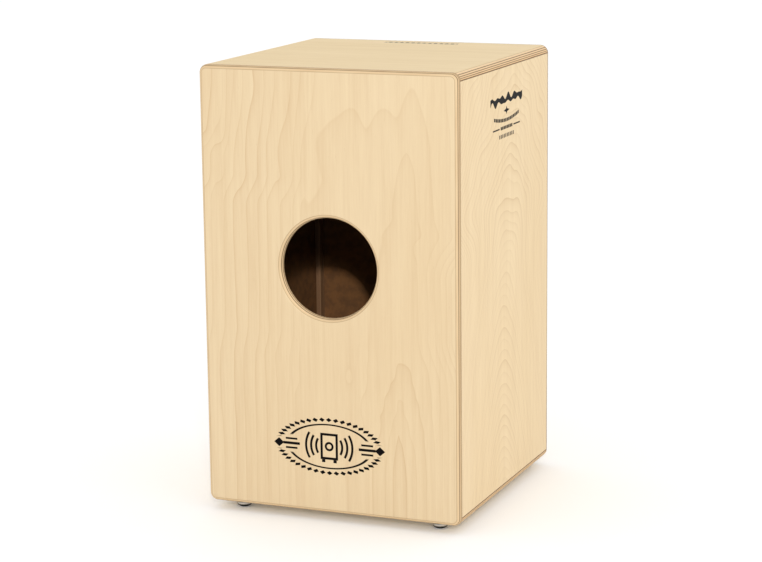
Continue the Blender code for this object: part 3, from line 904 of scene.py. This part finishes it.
# The tension screw. Its thread is made of a few rings a turn, and its socket ends in a shallow cone.
THREAD_PITCH = 0.0008
THREAD_DEPTH = 0.0004
THREAD_STEPS = 6
THREAD_LOW = 0.044
THREAD_RUN_OUT = 0.0006
SCREW_RADIUS = 0.0025
SCREW_HEAD = 0.00425
SCREW_HEAD_HEIGHT = 0.004
SOCKET_HALF_FLATS = 0.002
SOCKET_DEPTH = 0.0025
SOCKET_CONE = 0.0005
SOCKET_BEVEL = 0.0002
HEAD_BEVEL = 0.0005
HEAD_BEVEL_RISE = 0.0004
KNURL = 0.00014
KNURL_LOW = 0.0006
KNURL_TOP = 0.0003
WASHER_BEVEL = 0.00015

# A foot's cup, pad and screw, as heights and radii from the floor under its middle.
CUP_RADIUS = 0.00875
CUP_MOUTH = 0.0066
CUP_WALL = 0.0010
CUP_TOP = 0.0097
CUP_UNDER = 0.0082
CUP_STRAIGHT = 0.0055
CUP_LOW = 0.0012
CUP_EDGE = 0.0006
PAD_HOLE = 0.0042
PAD_TOP = 0.0079
PAD_TOE = 0.0004
PAD_BEVEL = 0.0003
FOOT_SCREW_HEAD = 0.0035
FOOT_SCREW_DOME = 0.0012
FOOT_SCREW_RADIUS = 0.0020
FOOT_SCREW_LOW = 0.0057
FOOT_SCREW_TIP = 0.0177

# A wire's ball: a spool with a hollow waist.
BALL_HALF = 0.0016
BALL_RADIUS = 0.0019
BALL_WAIST = 0.0013
BALL_EDGE = 0.0004


def cross(scale):
    """Outline of a driver's cross, as a radius for each angle."""

    def radius(turn):
        along, over = abs(math.cos(turn)), abs(math.sin(turn))
        reach, wide = CROSS_REACH * scale, CROSS_HALF_WIDTH * scale
        one = min(reach / max(along, 1e-6), wide / max(over, 1e-6))
        other = min(reach / max(over, 1e-6), wide / max(along, 1e-6))
        return max(one, other)

    return radius


def recess(face, inward):
    """A driver's cross sunk into a screw's face. inward is 1 towards +Z and -1 towards -Z."""
    return [
        (0.0, face + inward * CROSS_DEPTH),
        (cross(0.45), face + inward * 0.8 * CROSS_DEPTH),
        (cross(0.90), face + inward * CROSS_EDGE),
        (cross(1.0), face),
    ]


def hexagon(half_flats):
    """Outline of a hexagon, as a radius for each angle."""
    sixth = math.pi / 3
    return lambda turn: half_flats / math.cos((turn + sixth / 2) % sixth - sixth / 2)


def knurled(turn):
    """Radius of the cap head, with fine grooves."""
    tooth = round(turn * THREAD_SIDES / math.tau) % 2
    return SCREW_HEAD - KNURL * tooth


def threaded(height):
    """Radius of a right-hand thread at this height, for each angle."""

    def radius(turn):
        part = (height / THREAD_PITCH - turn / math.tau) % 1.0
        return SCREW_RADIUS - THREAD_DEPTH * max(0.0, abs(2 * part - 1) * 1.25 - 0.25)

    return radius


def tapa_screw_mesh():
    """Countersunk screw, head up, its top face just under Z = 0."""
    top, under = -GAP, -GAP - (TAPA_HEAD - TAPA_SHANK)
    return turned("tapa_screw", [
        *recess(top, -1),
        (TAPA_HEAD - TAPA_BEVEL, top),
        (TAPA_HEAD, top - TAPA_BEVEL_DROP),
        (TAPA_SHANK, under),
        (TAPA_SHANK, -TAPA_LENGTH + TAPA_SHANK),
        (0.0, -TAPA_LENGTH),
    ])


def foot_screw_mesh():
    """Pan-head screw, head down."""
    low, high = FOOT_SCREW_LOW, PAD_TOP
    middle = (FOOT_SCREW_HEAD - FOOT_SCREW_DOME, low + FOOT_SCREW_DOME)
    return turned("foot_screw", [
        *recess(low, 1),
        *arc(middle, FOOT_SCREW_DOME, -90, 0, 6),
        (FOOT_SCREW_HEAD, high),
        (FOOT_SCREW_RADIUS, high),
        (FOOT_SCREW_RADIUS, FOOT_SCREW_TIP - FOOT_SCREW_RADIUS),
        (0.0, FOOT_SCREW_TIP),
    ])


def tension_screw_mesh(low, high):
    """Socket cap screw, head down, with a knurled head and a right-hand thread."""
    head_top = low + SCREW_HEAD_HEIGHT
    floor = low + SOCKET_DEPTH
    steps = round((high - THREAD_RUN_OUT - THREAD_LOW) / THREAD_PITCH * THREAD_STEPS)
    heights = [THREAD_LOW + THREAD_PITCH * i / THREAD_STEPS for i in range(steps)]
    return turned("tension_screw", [
        (0.0, floor + SOCKET_CONE),
        (hexagon(SOCKET_HALF_FLATS), floor),
        (hexagon(SOCKET_HALF_FLATS), low + SOCKET_BEVEL),
        (hexagon(SOCKET_HALF_FLATS + SOCKET_BEVEL), low),
        (SCREW_HEAD - HEAD_BEVEL, low),
        (SCREW_HEAD - KNURL, low + HEAD_BEVEL_RISE),
        (knurled, low + KNURL_LOW),
        (knurled, head_top - KNURL_TOP),
        (SCREW_HEAD - KNURL, head_top),
        (SCREW_RADIUS, head_top),
        (SCREW_RADIUS, THREAD_LOW - THREAD_PITCH),
        *[(threaded(height), height) for height in heights],
        (SCREW_RADIUS - THREAD_DEPTH, high),
        (0.0, high),
    ], sides=THREAD_SIDES)


def washer_mesh(low, high, inner, outer):
    edge = outer - WASHER_BEVEL
    profile = [(inner, low), (edge, low), (outer, low + WASHER_BEVEL), (outer, high - WASHER_BEVEL)]
    return turned("tension_washer", profile + [(edge, high), (inner, high)], closed=True)


def bowl(radius, mouth):
    """Outer line of a foot, from where its straight side ends down to its mouth."""
    wide, high = radius - mouth, CUP_STRAIGHT - CUP_LOW
    quarter = arc((0.0, 0.0), 1.0, 0, -90, 12)
    return [(mouth + wide * c, CUP_STRAIGHT + high * s) for c, s in quarter]


def cup_mesh():
    """Polished cup, open below."""
    hole = FOOT_SCREW_RADIUS + GAP
    inside = CUP_RADIUS - CUP_WALL
    edge = arc((CUP_RADIUS - CUP_EDGE, CUP_TOP - CUP_EDGE), CUP_EDGE, 90, 0, 5)
    profile = [(hole, CUP_TOP), *edge, *bowl(CUP_RADIUS, CUP_MOUTH)]
    profile += bowl(inside, CUP_MOUTH - CUP_WALL)[::-1] + [(inside, CUP_UNDER), (hole, CUP_UNDER)]
    return turned("foot_cup", profile, closed=True)


def pad_mesh():
    """Rubber ring, standing a little proud of the cup's mouth."""
    wide = CUP_RADIUS - CUP_WALL - GAP
    narrow = CUP_MOUTH - CUP_WALL - GAP
    toe = arc((narrow - PAD_TOE, PAD_TOE), PAD_TOE, 0, -90, 4)
    profile = [(PAD_HOLE, PAD_TOP), (wide, PAD_TOP), *bowl(wide, narrow), *toe]
    profile += [(PAD_HOLE + PAD_BEVEL, 0.0), (PAD_HOLE, PAD_BEVEL)]
    return turned("foot_pad", profile, closed=True)


def ball_mesh():
    """The ring on the end of a wire: a short spool turned about X."""
    waist_depth = BALL_RADIUS - BALL_WAIST
    waist_half = BALL_HALF - BALL_EDGE
    flange = arc((BALL_RADIUS - BALL_EDGE, waist_half), BALL_EDGE, 90, 0, 4)
    hollow = [(BALL_WAIST + waist_depth * t * t, waist_half * t) for t in (0.75, 0.5, 0.25)]
    upper = [(0.0, BALL_HALF), *flange, *hollow]
    lower = [(r, -z) for r, z in reversed(upper)]
    mesh = turned("string_ball", upper + [(BALL_WAIST, 0.0)] + lower, THREAD_SIDES)
    mesh.transform(Matrix.Rotation(math.radians(90), 4, "Y"))
    return mesh


def tapa_screws(black):
    mesh = tapa_screw_mesh()
    for node in nodes_called("tapa_screw"):
        spot = middle_of(node)
        spot.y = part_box(node)[0].y - GAP
        place = Matrix.Translation(spot) @ FACING_FRONT
        shown(node + "_fine", mesh, black, "box", "black_steel", [node], place)


def feet(start, mesh, material, slot):
    """The four pieces of one kind, each above the floor point under its own middle."""
    for node in nodes_called(start):
        spot = middle_of(node)
        spot.z = 0.0
        shown(node + "_fine", mesh, material, "box", slot, [node], Matrix.Translation(spot))


def tension_screw(side, black, zinc):
    """One tension screw and its washer."""
    screw, washer = f"tension_screw_{side}", f"tension_washer_{side}"
    low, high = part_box(screw)
    axis = Matrix.Translation((middle_of(screw).x, middle_of(screw).y, 0.0))
    mesh = tension_screw_mesh(low.z, high.z)
    shown(screw + "_fine", mesh, black, f"{side}_tension_screw", "black_steel", [screw], axis)
    low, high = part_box(washer)
    mesh = washer_mesh(low.z, high.z, SCREW_RADIUS + GAP, (high.x - low.x) / 2)
    shown(washer + "_fine", mesh, zinc, "box", "zinc_steel", [washer], axis)


def balls(brass):
    mesh = ball_mesh()
    for node in nodes_called("string_ball"):
        body = node.split("_")[2] + "_string_anchor"
        shown(node + "_fine", mesh, brass, body, "brass", [node], Matrix.Translation(middle_of(node)))


def fittings():
    """Every screw, washer, foot and ball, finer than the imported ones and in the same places."""
    nickel = nickel_material()
    zinc = metal_material("zinc_steel", ZINC_TONES, 0.26)
    black = metal_material("black_steel", BLACK_TONES, 0.34)
    brass = metal_material("brass", BRASS_TONES, 0.24, brushed=(60.0, 1500.0, 1500.0))
    rubber = rubber_material()
    tapa_screws(black)
    feet("foot_cup_", cup_mesh(), nickel, "nickel")
    feet("foot_pad_", pad_mesh(), rubber, "rubber")
    feet("foot_screw_", foot_screw_mesh(), zinc, "zinc_steel")
    for side in SIDES:
        tension_screw(side, black, zinc)
    balls(brass)
    repaint(zinc, *nodes_called("string_hook"))
    repaint(brass, *nodes_called("string_anchor"))


# ---------------------------------------------------------------- snare wires

# A wire lies on the tapa between the two touch heights. Its strands spread apart from the loop over the
# hook down to the anchor, where each ends in a wound neck and a ring round a ball.
WIRE_RADIUS = 0.0005
WIRE_SPREAD = 0.012
WIRE_TOUCH_LOW = 0.100
WIRE_TOUCH_HIGH = 0.455
HOOK_Z = 0.480
LOOP_RADIUS = 0.00255
LOOP_DROP = 0.0051
LOOP_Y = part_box("string_rail")[0].y - 0.0014
RISE_STEPS = (1, 10, 24, 4)
NECK_TURNS = 14
NECK_STEPS = 12
NECK_HEIGHT = 0.012
NECK_WIRE = 0.00018
RING_WIRE = 0.00028


def between(start, end, steps):
    """Points from start up to just before end."""
    return [start.lerp(end, i / steps) for i in range(steps)]


def rise(x, side, slot_y):
    """Centre line of one strand, from the anchor's slot up to where the loop begins. x is -1 or 1."""
    low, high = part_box(f"string_anchor_{side}")
    touch_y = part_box(f"snare_string_{side}")[0].y + WIRE_RADIUS
    corners = [(slot_y, low.z - GAP), (slot_y, high.z), (touch_y, WIRE_TOUCH_LOW)]
    corners += [(touch_y, WIRE_TOUCH_HIGH), (LOOP_Y, HOOK_Z - LOOP_DROP)]

    def spread_at(z):
        share = (z - low.z) / (HOOK_Z - low.z)
        return WIRE_SPREAD + (LOOP_RADIUS - WIRE_SPREAD) * share

    points = [Vector((x * spread_at(z), y, z)) for y, z in corners]
    path = []
    for start, end, steps in zip(points, points[1:], RISE_STEPS):
        path += between(start, end, steps)
    return path + points[-1:]


def neck(path, low, high):
    """The thin wire wound round the bottom of a strand between two heights."""
    below = next(p for p in reversed(path) if p.z <= low)
    above = next(p for p in path if p.z >= high)
    steps = NECK_TURNS * NECK_STEPS
    reach = WIRE_RADIUS + NECK_WIRE * 0.7
    points = []
    for i in range(steps + 1):
        z = low + (high - low) * i / steps
        centre = below.lerp(above, (z - below.z) / (above.z - below.z))
        turn = math.tau * i / NECK_STEPS
        points.append(Vector((centre.x + reach * math.cos(turn), centre.y + reach * math.sin(turn), z)))
    return points


def waist_ring(centre):
    """The loop of wire that lies in a ball's waist, open at the bottom."""
    radius = BALL_WAIST + RING_WIRE
    turns = [math.radians(i * 10) for i in range(-17, 18)]
    return [centre + Vector((0.0, radius * math.sin(t), radius * math.cos(t))) for t in turns]


def string_mesh(side):
    """One doubled wire: two strands, the loop over the hook, and the wound ends."""
    ends = [middle_of(f"string_ball_{side}_{end}") for end in ("inner", "outer")]
    slot_y = ends[0].y
    axis = Vector((middle_of(f"string_anchor_{side}").x, 0.0, 0.0))
    left, right = rise(-1, side, slot_y), rise(1, side, slot_y)
    over = [Vector((r, LOOP_Y, HOOK_Z + h)) for r, h in arc((0.0, 0.0), LOOP_RADIUS, 180, 0, 24)]
    model = bmesh.new()
    tube(model, [axis + point for point in left + over + right[::-1]], WIRE_RADIUS)
    anchor_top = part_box(f"string_anchor_{side}")[1].z
    for strand in (left, right):
        points = [axis + point for point in strand]
        tube(model, neck(points, anchor_top, anchor_top + NECK_HEIGHT), NECK_WIRE, 6)
    for ball in ends:
        tube(model, waist_ring(ball), RING_WIRE, 8)
    return mesh_from(model, f"snare_string_{side}_fine")


def strings():
    wire = wire_material()
    for side in SIDES:
        node = f"snare_string_{side}"
        mesh = string_mesh(side)
        mesh.materials.append(wire)
        obj = bpy.data.objects.new(node + "_fine", mesh)
        bpy.context.scene.collection.objects.link(obj)
        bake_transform(obj)
        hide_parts(node)


# ---------------------------------------------------------------- studio


def camera():
    data = bpy.data.cameras.new("photo_view")
    data.lens = LENS
    data.sensor_width = SENSOR
    data.clip_start = CLIP_START
    obj = bpy.data.objects.new("photo_view", data)
    bpy.context.scene.collection.objects.link(obj)
    level = math.cos(CAMERA_PITCH)
    ahead = Vector((
        math.sin(CAMERA_AZIMUTH) * level,
        -math.cos(CAMERA_AZIMUTH) * level,
        -math.sin(CAMERA_PITCH),
    ))
    right = Vector((-math.cos(CAMERA_AZIMUTH), -math.sin(CAMERA_AZIMUTH), 0.0))
    up = right.cross(ahead)
    obj.location = CAMERA_AIM - ahead * CAMERA_DISTANCE - up * CAMERA_DROP
    facing = ahead.to_track_quat("-Z", "Y").to_matrix() @ Matrix.Rotation(CAMERA_ROLL, 3, "Z")
    obj.rotation_euler = facing.to_euler()
    bpy.context.scene.camera = obj


def direction(azimuth, elevation):
    """The way to a lamp. Azimuth 0 is straight behind the box, on the sound hole's side."""
    level = math.cos(elevation)
    return Vector((-math.sin(azimuth) * level, math.cos(azimuth) * level, math.sin(elevation)))


def area_light(name, azimuth, elevation, distance, size, watts):
    """A square soft light that faces the box."""
    data = bpy.data.lights.new(name, "AREA")
    data.size = size
    data.energy = watts
    obj = bpy.data.objects.new(name, data)
    bpy.context.scene.collection.objects.link(obj)
    towards = direction(azimuth, elevation)
    obj.location = CAMERA_AIM + towards * distance
    obj.rotation_euler = (-towards).to_track_quat("-Z", "Y").to_euler()


def beam():
    """A narrow lamp beside the key light that shines in through the sound hole."""
    data = bpy.data.lights.new("beam", "SPOT")
    data.energy = BEAM_WATTS
    data.shadow_soft_size = BEAM_SOFTNESS
    data.spot_size = BEAM_WIDTH / KEY_DISTANCE
    data.spot_blend = BEAM_FADE
    obj = bpy.data.objects.new("beam", data)
    bpy.context.scene.collection.objects.link(obj)
    towards = direction(KEY_AZIMUTH, KEY_ELEVATION)
    obj.location = HOLE_CENTRE + towards * KEY_DISTANCE
    obj.rotation_euler = (-towards).to_track_quat("-Z", "Y").to_euler()


def studio():
    world = bpy.data.worlds.new("studio")
    bpy.context.scene.world = world
    world.use_nodes = True
    sky = world.node_tree.nodes["Background"]
    sky.inputs["Color"].default_value = WHITE
    sky.inputs["Strength"].default_value = SKY
    area_light("key", KEY_AZIMUTH, KEY_ELEVATION, KEY_DISTANCE, KEY_SIZE, KEY_WATTS)
    beam()
    model = bmesh.new()
    bmesh.ops.create_grid(model, x_segments=1, y_segments=1, size=FLOOR_SIZE / 2)
    mesh = bpy.data.meshes.new("studio_floor")
    model.to_mesh(mesh)
    model.free()
    floor = bpy.data.objects.new("studio_floor", mesh)
    bpy.context.scene.collection.objects.link(floor)
    finish = Finish("studio_floor")
    paper = noise(finish.x * 400, finish.y * 400, finish.z, detail=2.0)
    finish.colour(blended(*PAPER_TONES, ramp(paper, -0.2, 0.3)))
    finish.set(Roughness=0.9, Specular_IOR_Level=0.1)
    finish.set(Emission_Color=WHITE, Emission_Strength=FLOOR_GLOW)
    mesh.materials.append(finish.material)
    bpy.context.scene.view_settings.view_transform = "Standard"


camera()
studio()
boards()
fittings()
strings()
